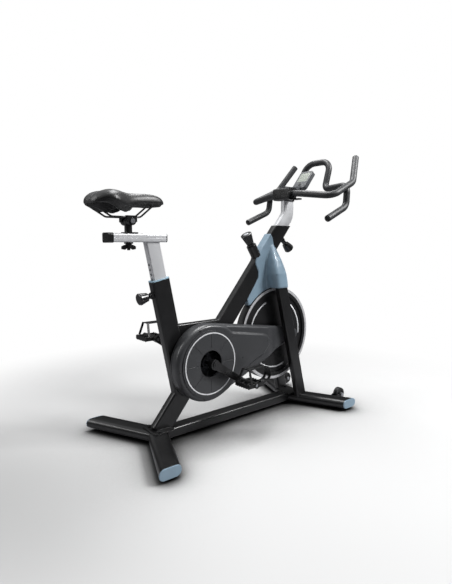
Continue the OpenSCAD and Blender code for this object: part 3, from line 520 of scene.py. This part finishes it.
# Stations of the cover from tail to nose: x, half width, top, skirt's lower edge, underside, channel depth
SADDLE = np.array([
    (-482, 36, 967, 943, 950, 6), (-475, 60, 978, 944, 951, 11), (-456, 84, 988, 948, 953, 15),
    (-436, 94, 995, 945, 953, 15), (-418, 96, 999, 935, 951, 12), (-400, 92, 999, 925, 949, 10),
    (-380, 82, 997, 920, 948, 8), (-358, 69, 993, 919, 948, 6), (-338, 58, 991, 926, 949, 4),
    (-318, 49, 991, 940, 951, 3), (-292, 42, 992, 948, 953, 2), (-254, 35, 994, 950, 954, 1),
    (-218, 30, 994, 951, 957, 1), (-193, 25, 989, 952, 958, 0), (-177, 18, 980, 954, 960, 0),
    (-171, 11, 970, 956, 961, 0),
], float)


def saddle_at(x):
    """The table's half width, top, skirt, underside and channel at any x."""
    return [float(np.interp(x, SADDLE[:, 0], SADDLE[:, k])) for k in range(1, 6)]


def saddle_section(x):
    """Half of the cover's outline at one station, from the top's middle round to the underside's middle."""
    w, top, skirt, under, channel = saddle_at(x)
    h = top - skirt
    tuck = 0.22 * min(1.0, max(0.0, (under - skirt - 4) / 24))
    return [
        (0, top - channel), (0.1 * w, top - channel * 0.75), (0.2 * w, top - channel * 0.25),
        (0.38 * w, top), (0.62 * w, top - 0.05 * h), (0.82 * w, top - 0.17 * h),
        (0.95 * w, top - 0.37 * h), (w, top - 0.6 * h), ((0.98 - 0.6 * tuck) * w, skirt + 0.2 * h),
        ((0.95 - tuck) * w, skirt), ((0.88 - tuck) * w, skirt + 0.5), ((0.8 - tuck) * w, (skirt + under) / 2),
        (0.52 * w, under), (0.26 * w, under), (0, under),
    ]


def loft(name, stations, section):
    """Closed skin through mirrored half sections."""
    rings = []
    for x in stations:
        half = section(x)
        ring = half + [(-y, z) for y, z in reversed(half[1:-1])]
        rings.append([place(x, y, z) for y, z in ring])
    return skin_rings(name, rings)


def inflate(obj, pressure, cap):
    """Blows the cover up a little as cloth, with no point moving further than cap."""
    rest = np.array([v.co for v in obj.data.vertices])
    cloth = obj.modifiers.new("cloth", "CLOTH")
    cloth.settings.use_pressure = True
    cloth.settings.uniform_pressure_force = pressure
    cloth.settings.effector_weights.gravity = 0
    cloth.settings.quality = 5
    for step in range(1, 21):
        bpy.context.scene.frame_set(step)
    bake(obj)
    moved = np.array([v.co for v in obj.data.vertices])
    shift = moved - rest
    length = np.linalg.norm(shift, axis=1, keepdims=True)
    shift *= np.minimum(1.0, cap / np.maximum(length, 1e-9))
    obj.data.vertices.foreach_set("co", (rest + shift).ravel())
    obj.data.update()
    bpy.context.scene.frame_set(1)


def subdivided(obj):
    step = obj.modifiers.new("subdivide", "SUBSURF")
    step.levels = step.render_levels = 1
    return bake(obj)


def pressed(obj, path, width, depth):
    """Presses a seam into obj along a path of points."""
    path = np.array(path)
    points = np.array([v.co for v in obj.data.vertices])
    normals = np.array([v.normal for v in obj.data.vertices])
    nearest = np.full(len(points), 1e9)
    for a, b in zip(path[:-1], path[1:]):
        span = b - a
        t = np.clip(((points - a) @ span) / max(span @ span, 1e-12), 0, 1)
        nearest = np.minimum(nearest, np.linalg.norm(points - a - t[:, None] * span, axis=1))
    sink = depth * np.exp(-((nearest / width) ** 2))
    obj.data.vertices.foreach_set("co", (points - normals * sink[:, None]).ravel())
    obj.data.update()


def stitches(name, path, normals, pitch, length, radius):
    """Row of short rounded stitches that lie along a path."""
    path = np.array(path)
    run = np.concatenate([[0], np.cumsum(np.linalg.norm(np.diff(path, axis=0), axis=1))])
    points, faces = [], []
    for start in np.arange(pitch / 2, run[-1] - length, pitch):
        ends = [np.array([np.interp(s, run, path[:, k]) for k in range(3)]) for s in (start, start + length)]
        up = np.array([np.interp(start, run, normals[:, k]) for k in range(3)])
        up /= np.linalg.norm(up)
        along = ends[1] - ends[0]
        along /= np.linalg.norm(along)
        side = np.cross(up, along)
        base = len(points)
        for t, size in ((0.0, 0.35), (0.15, 0.85), (0.5, 1.0), (0.85, 0.85), (1.0, 0.35)):
            middle = ends[0] * (1 - t) + ends[1] * t + up * radius * (0.9 * math.sin(math.pi * t) - 0.15)
            for k in range(8):
                a = 2 * math.pi * k / 8
                points.append(middle + (side * math.cos(a) + up * math.sin(a) * 0.7) * radius * size)
        for row in range(base, base + 32, 8):
            faces += [[row + k, row + (k + 1) % 8, row + 8 + (k + 1) % 8, row + 8 + k] for k in range(8)]
        faces += [[base + k for k in range(8)], [base + 32 + k for k in range(7, -1, -1)]]
    return mesh_object(name, points, faces)


def landed(tree, starts, direction):
    """Where rays from starts land on a surface: points and outward normals."""
    points, normals = [], []
    for start in starts:
        point, normal, _, _ = tree.ray_cast(start, direction)
        if point is not None:
            points.append(np.array(point))
            normals.append(np.array(normal))
    return np.array(points), np.array(normals)


def build_saddle():
    stations = list(np.linspace(SADDLE[0, 0], SADDLE[-1, 0], 44))
    cover = loft("saddle_cover", stations, saddle_section)
    remesh(cover, 0.005, 8)
    inflate(cover, 4.0, 0.0025)
    ease = cover.modifiers.new("ease", "SMOOTH")
    ease.iterations = 4
    bake(cover)
    subdivided(cover)
    tree = BVHTree.FromObject(cover, bpy.context.evaluated_depsgraph_get())
    seams = []
    for side in (-1, 1):
        # Side seam, low on the flank, from tail to nose
        xs = np.linspace(-472, -180, 90)
        low = [saddle_at(x) for x in xs]
        starts = [place(x, side * 200, s[2] + 0.26 * (s[1] - s[2])) for x, s in zip(xs, low)]
        seams.append(landed(tree, starts, Vector((0, -side, 0))))
        # Top seam, beside the channel
        xs = np.linspace(-462, -215, 70)
        starts = [place(x, side * (0.34 * saddle_at(x)[0] + 2), 1100) for x in xs]
        seams.append(landed(tree, starts, Vector((0, 0, -1))))
    for points, _ in seams:
        pressed(cover, points, 0.0022, 0.001)
    rows = [
        stitches(f"row{i}", points - normals * 0.0009, normals, 0.0062, 0.0042, 0.00055)
        for i, (points, normals) in enumerate(seams)
    ]
    wear(cover, "saddle", "saddle_cover", "saddle_pad")
    wear(join("saddle_stitching", *rows), "saddle", "saddle_cover", material="saddle_thread")


def shell_section(x):
    """Half of the hard shell under the cover, at one station."""
    w, _, _, under, _ = saddle_at(x)
    w *= 0.78
    drop = 9 + 22 * math.exp(-(((x + 428) / 32) ** 2)) + 3 * math.exp(-(((x + 236) / 24) ** 2))
    return [
        (0, under + 4), (0.6 * w, under + 4), (0.92 * w, under + 1), (w, under - 2),
        (0.95 * w, under - 5), (0.7 * w, under - drop * 0.7), (0.45 * w, under - drop),
        (0.25 * w, under - drop), (0, under - drop * 0.8),
    ]


def build_saddle_shell():
    shell = loft("saddle_shell", list(np.linspace(-472, -188, 36)), shell_section)
    remesh(shell, 0.0035, 3)
    wear(shell, "saddle", "saddle_shell", "saddle_base")


# ---------------------------------------------------------------- head cover

# The diagonal tube: its slope, and a point on its middle line
SLOPE = math.radians(50.2)
TUBE_FOOT = (14.0, 310.0)
# Side outline of the cover, over the tube
COVER_SIDE = [
    (411, 858), (426, 836), (441, 770), (458, 708), (474, 650), (478, 609), (410, 598), (360, 570),
    (306, 535), (270, 522), (262, 552), (298, 602), (330, 649), (331, 680), (311, 718), (324, 752),
    (354, 790), (382, 822),
]
# Fold over the fork leg, from its top down: height, rear and front edge, and how far out it stands
COVER_FOLD = [
    (812, 420, 429, 17), (792, 409, 437, 31), (766, 398, 443, 47), (732, 388, 452, 65), (700, 383, 461, 77),
    (668, 381, 469, 86), (636, 384, 476, 88), (600, 390, 480, 89),
]
COVER_HALF = 21.5
WHEEL_ROOM = 0.230  # the cover is cut away to this radius round the flywheel
COLLAR_RADIUS = 0.0238  # and to this radius round the brake's collar


def in_tube(points):
    """Points given across the diagonal tube (forward), sideways and along it, as places on the bike."""
    c, s = math.cos(SLOPE), math.sin(SLOPE)
    return [place(TUBE_FOOT[0] + t * c + d * s, y, TUBE_FOOT[1] + t * s - d * c) for d, y, t in points]


def tube_solid(name, half_depth, half_width, low, high):
    sides = (-half_width, half_width)
    corners = [(d, y, t) for d in (-half_depth, half_depth) for y in sides for t in (low, high)]
    return hull_of(name, in_tube(corners))


def fold_ring(z, x0, x1, y_out):
    """Rounded outline of the fold at one height."""
    middle, half, inner = (x0 + x1) / 2, (x1 - x0) / 2, 8
    ring = [(middle - half, inner), (middle + half, inner)]
    for k in range(1, 24):
        a = math.pi * k / 24
        c, n = math.cos(a), math.sin(a)
        x = middle + half * math.copysign(abs(c) ** 0.5, c)
        ring.append((x, inner + (y_out - inner) * n ** 0.42))
    return [place(x, y, z) for x, y in ring]


def cover_blank(name):
    """Solid outer form of the left half of the cover."""
    side = prism("side", COVER_SIDE, -6, COVER_HALF)
    rings = [fold_ring(*row) for row in COVER_FOLD]
    return remesh(join(name, side, skin_rings("fold", rings)), COVER_VOXEL, 18)


def build_head_cover():
    cover = cover_blank("head_cover_left_shell")
    brake = joints["resistance_turn"]
    down = Vector(brake["axis"])
    top = Vector(brake["pos_m"])
    lean = math.radians(15)
    c, s = math.cos(lean), math.sin(lean)
    leg = [
        place(586 - s * t + c * d, 65 + w, 55 + c * t + s * d)
        for t in (400, 640) for d in (-29.6, 29.6) for w in (-15.6, 15.6)
    ]
    cut(
        cover, room_in(cover, WALL),
        box_solid("half", place(200, -40, 400), place(600, 0.15, 1000)),
        tube_solid("tube", 42.5, 17.5, -100, 900),
        rod("wheel", hub + Vector((0, -0.1, 0)), hub + Vector((0, 0.045, 0)), WHEEL_ROOM, 160),
        rod("collar", top + down * 0.0605, top - down * 0.1, COLLAR_RADIUS),
        hull_of("leg", leg),
    )
    right = mirrored(cover, "head_cover_right_shell")
    wear(cover, "frame", "cover_blue", "head_cover_left")
    wear(right, "frame", "cover_blue", "head_cover_right")
    for shell in (cover, right):
        smooth_shaded(shell, 50)


# ---------------------------------------------------------------- chain guard

NOSE = (556, 362)
RIM = 15
GUARD_IN, GUARD_OUT = 33, 80  # how far the guard's back and its deepest face stand from the middle
GUARD_THICK = GUARD_OUT - GUARD_IN


def guard_outline():
    """Side outline of the guard: round the drum, along the underside, round the nose and back on top."""
    return (
        arc(0, 310, 165, 84, 292, 60) + [(267, 240), (403, 290), (488, 321)]
        + arc(*NOSE, 26, -70, 82, 12) + [(475, 408), (283, 436)]
    )


# Raised part of the guard ahead of the drum, ending in a blunt beak
GUARD_BEAK = [
    (0, 310), (62, 440), (128, 421), (240, 402), (311, 390), (338, 380), (352, 360), (350, 340), (321, 308),
    (262, 284), (205, 261), (120, 214),
]


def outside(polygon, x, z):
    """Distance of each point outside a polygon, negative inside it."""
    inside = np.zeros(len(x), bool)
    nearest = np.full(len(x), 1e9)
    for (ax, az), (bx, bz) in zip(polygon, polygon[1:] + polygon[:1]):
        dx, dz = bx - ax, bz - az
        along = np.clip(((x - ax) * dx + (z - az) * dz) / (dx ** 2 + dz ** 2), 0, 1)
        nearest = np.minimum(nearest, np.hypot(x - ax - along * dx, z - az - along * dz))
        crosses = (az > z) != (bz > z)
        with np.errstate(divide="ignore", invalid="ignore"):
            inside ^= crosses & (x < dx * (z - az) / dz + ax)
    return np.where(inside, -nearest, nearest)


def guard_depth(x, z):
    """How far out the guard's face stands, with its rim rounded off."""
    drum = np.hypot(x, z - 310) - 164
    step = np.clip(np.minimum(outside(GUARD_BEAK, x, z), drum) / 6, 0, 1)
    ease = step * step * (3 - 2 * step)
    ahead = np.clip((x - 338) / 112, 0, 1)
    face = GUARD_OUT - 9 * ease * (1 - ahead) - 32 * (ahead * ahead * (3 - 2 * ahead))
    short = np.clip(1 + outside(guard_outline(), x, z) / RIM, 0, 1)
    return face - RIM * (1 - np.sqrt(1 - short * short)) * (face - GUARD_IN) / GUARD_THICK


def build_guard():
    guard = remesh(prism("guard_shell", guard_outline(), -GUARD_OUT, -GUARD_IN), COVER_VOXEL)
    points = np.array([v.co for v in guard.data.vertices])
    x, z = (points[:, 0] - crank.x) / MM, points[:, 2] / MM
    out = -points[:, 1] / MM - GUARD_IN
    points[:, 1] = -(GUARD_IN + out * (guard_depth(x, z) - GUARD_IN) / GUARD_THICK) * MM
    guard.data.vertices.foreach_set("co", points.ravel())
    guard.data.update()
    ease = guard.modifiers.new("ease", "SMOOTH")
    ease.iterations = 8
    bake(guard)
    pocket = [(33, -27), (66, -27), (66, 27), (33, 27)]
    cut(
        guard, room_in(guard, WALL),
        prism("back", [(-300, 0), (700, 0), (700, 700), (-300, 700)], -35.5, -10),
        rod("opening", crank + Vector((0, -0.2, 0)), crank + Vector((0, -0.05, 0)), 0.062, 96),
        prism("pocket", [(453 + px, 373 + pz) for px, pz in pocket], -52, -30),
    )
    wear(guard, "frame", "guard_grey", "guard_outer")
    smooth_shaded(guard, 50)


# ---------------------------------------------------------------- knob, flywheel stripes and bar plugs


def turned(name, profile, base, axis, flutes=0, depth=0.0, steps=96):
    """Solid of revolution of (radius, height, flute share) rows, with flutes pressed into its side."""
    turn = axis.to_track_quat("Z", "Y").to_matrix()
    rings = []
    for r, h, share in profile:
        ring = []
        for k in range(steps):
            a = 2 * math.pi * k / steps
            wave = (0.5 - 0.5 * math.cos(flutes * a)) ** 2 if flutes else 0
            radius = r - depth * share * wave
            ring.append(base + turn @ Vector((radius * math.cos(a), radius * math.sin(a), h)))
        rings.append(ring)
    return skin_rings(name, rings)


def build_gusset():
    """Plate in the corner between the seat tube and the tube above the guard.

    Its rear edge ends inside the seat tube's front wall, clear of the seat post.
    """
    gusset = prism("frame_gusset", [(-102.7, 413.5), (-113, 462), (-50, 462)], -14, -9)
    wear(gusset, "frame", "frame_black")


def build_resistance_knob():
    brake = joints["resistance_turn"]
    up = -Vector(brake["axis"])
    top = Vector(brake["pos_m"])
    profile = [
        (0.0062, 0.0122, 0), (0.0165, 0.0122, 0), (0.0178, 0.0132, 0.3), (0.0184, 0.016, 1),
        (0.0212, 0.03, 1), (0.0240, 0.045, 1), (0.0255, 0.053, 0.9), (0.0261, 0.0555, 0.3),
        (0.0262, 0.0575, 0), (0.0260, 0.0592, 0), (0.0248, 0.0603, 0), (0.0200, 0.0608, 0),
        (0.0132, 0.0610, 0), (0.0126, 0.0598, 0),
    ]
    knob = turned("resistance_knob_fluted", profile, top, up, flutes=10, depth=0.003)
    wear(knob, "knob", "knob_black", "resistance_knob")
    smooth_shaded(knob, 40)
    disc = [
        (0.0123, 0.0590, 0), (0.0124, 0.0616, 0), (0.0119, 0.0621, 0), (0.0108, 0.0623, 0),
        (0.0060, 0.0624, 0), (0.0010, 0.0624, 0),
    ]
    wear(turned("resistance_knob_disc", disc, top, up), "knob", "knob_black", material="knob_disc")


def stripe(angle, sweep, radius, width, y0, y1):
    """Raised arc with round ends on a face of the flywheel."""
    half = width / 2
    a0, a1 = math.radians(angle - sweep / 2), math.radians(angle + sweep / 2)
    steps = 40

    def polar(r, a):
        return Vector((r * math.cos(a), r * math.sin(a)))

    bends = np.linspace(0.2, math.pi - 0.2, 9)
    flat = [polar(radius + half, a0 + (a1 - a0) * i / steps) for i in range(steps + 1)]
    flat += [polar(radius, a1) + polar(half, a1 + t) for t in bends]
    flat += [polar(radius - half, a1 - (a1 - a0) * i / steps) for i in range(steps + 1)]
    flat += [polar(radius, a0) + polar(half, a0 - t) for t in bends[::-1]]
    return skin_rings("stripe", [[hub + Vector((p.x, y, p.y)) for p in flat] for y in (y0, y1)])


def build_stripes():
    """Three white arcs on each face of the flywheel's web."""
    web = 0.016
    rows = []
    for angle in (142, 22, 262):
        for side in (-1, 1):
            rows.append(stripe(angle, 56, 0.168, 0.0075, side * (web - 0.0004), side * (web + 0.0006)))
    wear(join("flywheel_stripes", *rows), "flywheel", "white_trim")


def build_bar_plugs():
    """Rounded rubber plugs in the four open ends of the handlebar."""
    profile = [
        (0.0125, -0.004, 0), (0.0125, 0.0001, 0), (0.0142, 0.0003, 0), (0.0146, 0.0012, 0),
        (0.0138, 0.0022, 0), (0.0105, 0.0026, 0), (0.0085, 0.0014, 0), (0.0010, 0.0010, 0),
    ]
    # Each end's tip and a point further down its tube
    ends = [
        ((524, 262, 920), (672, 253, 982)),
        ((821, 196, 1230), (735, 243, 1100)),
    ]
    plugs = []
    for tip, inner in ends:
        for side in (-1, 1):
            base, behind = (place(x, side * y, z) for x, y, z in (tip, inner))
            plugs.append(turned("plug", profile, base, (base - behind).normalized(), steps=40))
    plug = join("bar_end_plugs", *plugs)
    wear(plug, "handlebar", "bar_grip", material="bar_end")
    smooth_shaded(plug, 40)


build_saddle()
build_saddle_shell()
build_head_cover()
build_guard()
build_gusset()
build_resistance_knob()
build_stripes()
build_bar_plugs()

# ---------------------------------------------------------------- studio


def build_floor():
    """White sweep: it takes the shadows cast round the bike, with painted shadow from an occlusion node and a
    painted patch of shade behind the bike, and runs out to plain white.
    """
    size = 40.0
    corners = [(-size, -size, 0), (size, -size, 0), (size, size, 0), (-size, size, 0)]
    floor = mesh_object("floor", corners, [[0, 1, 2, 3]])
    floor.location.z = -0.0002
    g = Graph("floor")
    g.feed(g.bsdf, Roughness=0.6, Specular_IOR_Level=0.1)
    # Painted shade: a soft darker patch of floor colour behind the bike.
    shade_pool = g.add("ShaderNodeVectorMath", operation="DISTANCE")
    g.feed(shade_pool, Vector=g.at((1.0, 0.7, 1.0)))
    shade_pool.inputs[1].default_value = (-1.1, 0.05, 0)
    painted_shade_pool = g.add("ShaderNodeMapRange", interpolation_type="SMOOTHSTEP")
    g.feed(painted_shade_pool, Value=shade_pool.outputs["Value"])
    for index, number in enumerate((0.0, 0.85, 0.36, 0.5), 1):
        painted_shade_pool.inputs[index].default_value = number
    # Painted shadow: an occlusion node darkens the floor colour under and round the bike's parts.
    near = g.add("ShaderNodeAmbientOcclusion", samples=12)
    g.feed(near, Distance=0.27)
    painted_contact_shadow = g.math("POWER", near.outputs["AO"], 2.8)
    painted_shade_tint = g.mix(g.math("MULTIPLY", painted_shade_pool.outputs["Result"], painted_contact_shadow), (0, 0, 0, 1), (1, 1, 1, 1))
    seen = g.add("ShaderNodeLightPath").outputs["Is Camera Ray"]
    g.feed(g.bsdf, Base_Color=g.mix(seen, (0.3, 0.3, 0.31, 1), painted_shade_tint))
    away = g.add("ShaderNodeVectorMath", operation="LENGTH")
    g.join(g.place, away.inputs[0])
    blend = g.add("ShaderNodeMapRange", interpolation_type="SMOOTHSTEP")
    g.feed(blend, Value=away.outputs["Value"])
    for index, number in enumerate((0.95, 1.9, 0.0, 1.0), 1):
        blend.inputs[index].default_value = number
    glow = g.add("ShaderNodeEmission")
    # Painted shade: the glowing far floor is dimmed in the same darker patch.
    bright = g.span(painted_shade_pool.outputs["Result"], 0.36, 0.5, 0.76, 1.0)
    g.feed(glow, Color=g.mix(seen, (0.2, 0.2, 0.21, 1), (1, 1, 1, 1)), Strength=bright)
    both = g.add("ShaderNodeMixShader")
    g.join(blend.outputs["Result"], both.inputs[0])
    g.join(g.bsdf.outputs["BSDF"], both.inputs[1])
    g.join(glow.outputs["Emission"], both.inputs[2])
    output = [n for n in g.tree.nodes if n.type == "OUTPUT_MATERIAL"][0]
    g.join(both.outputs["Shader"], output.inputs["Surface"])
    floor.data.materials.append(g.material)


def build_world():
    """White behind the bike; as light it is bright overhead and behind, and dim towards the camera."""
    world = bpy.data.worlds.new("studio")
    bpy.context.scene.world = world
    world.use_nodes = True
    tree = world.node_tree
    tree.nodes.clear()
    path = tree.nodes.new("ShaderNodeLightPath")
    seen = tree.nodes.new("ShaderNodeBackground")
    seen.inputs["Color"].default_value = (1, 1, 1, 1)
    light = tree.nodes.new("ShaderNodeBackground")
    light.inputs["Color"].default_value = (0.98, 0.99, 1, 1)
    where = tree.nodes.new("ShaderNodeTexCoord")
    lean = tree.nodes.new("ShaderNodeVectorMath")
    lean.operation = "DOT_PRODUCT"
    lean.inputs[1].default_value = Vector((-0.15, 0.1, 1.0)).normalized()
    tree.links.new(where.outputs["Generated"], lean.inputs[0])
    ramp = tree.nodes.new("ShaderNodeMapRange")
    ramp.interpolation_type = "SMOOTHSTEP"
    for index, number in enumerate((0.42, 0.95, 0.035, 0.9), 1):
        ramp.inputs[index].default_value = number
    tree.links.new(lean.outputs["Value"], ramp.inputs["Value"])
    tree.links.new(ramp.outputs["Result"], light.inputs["Strength"])
    mix = tree.nodes.new("ShaderNodeMixShader")
    output = tree.nodes.new("ShaderNodeOutputWorld")
    tree.links.new(path.outputs["Is Camera Ray"], mix.inputs[0])
    tree.links.new(light.outputs["Background"], mix.inputs[1])
    tree.links.new(seen.outputs["Background"], mix.inputs[2])
    tree.links.new(mix.outputs["Shader"], output.inputs["Surface"])


def softbox(name, location, target, size, power):
    data = bpy.data.lights.new(name, "AREA")
    data.shape = "RECTANGLE"
    data.size, data.size_y = size
    data.energy = power
    lamp = bpy.data.objects.new(name, data)
    bpy.context.scene.collection.objects.link(lamp)
    lamp.location = location
    lamp.rotation_euler = (Vector(target) - Vector(location)).to_track_quat("-Z", "Y").to_euler()


def build_camera():
    camera = bpy.data.cameras.new("camera")
    camera.sensor_width = 36.0
    camera.lens = 28.07
    obj = bpy.data.objects.new("camera", camera)
    bpy.context.scene.collection.objects.link(obj)
    azimuth, elevation = math.radians(-40.0), math.radians(6.07)
    level = math.cos(elevation)
    back = Vector((math.sin(azimuth) * level, -math.cos(azimuth) * level, math.sin(elevation)))
    obj.location = (-1.321, -1.5484, 0.809)
    obj.rotation_euler = back.to_track_quat("Z", "Y").to_euler()
    bpy.context.scene.camera = obj


build_floor()
build_world()
softbox("key", (1.9, -2.1, 3.0), (0, 0, 0.5), (1.1, 1.1), 170)
softbox("rim", (-2.6, 1.6, 2.0), (-0.1, 0, 0.6), (0.6, 2.0), 30)
softbox("top", (0.4, 0.5, 3.2), (0, 0, 0), (1.0, 2.0), 75)
build_camera()
bpy.context.scene.view_settings.view_transform = "Standard"
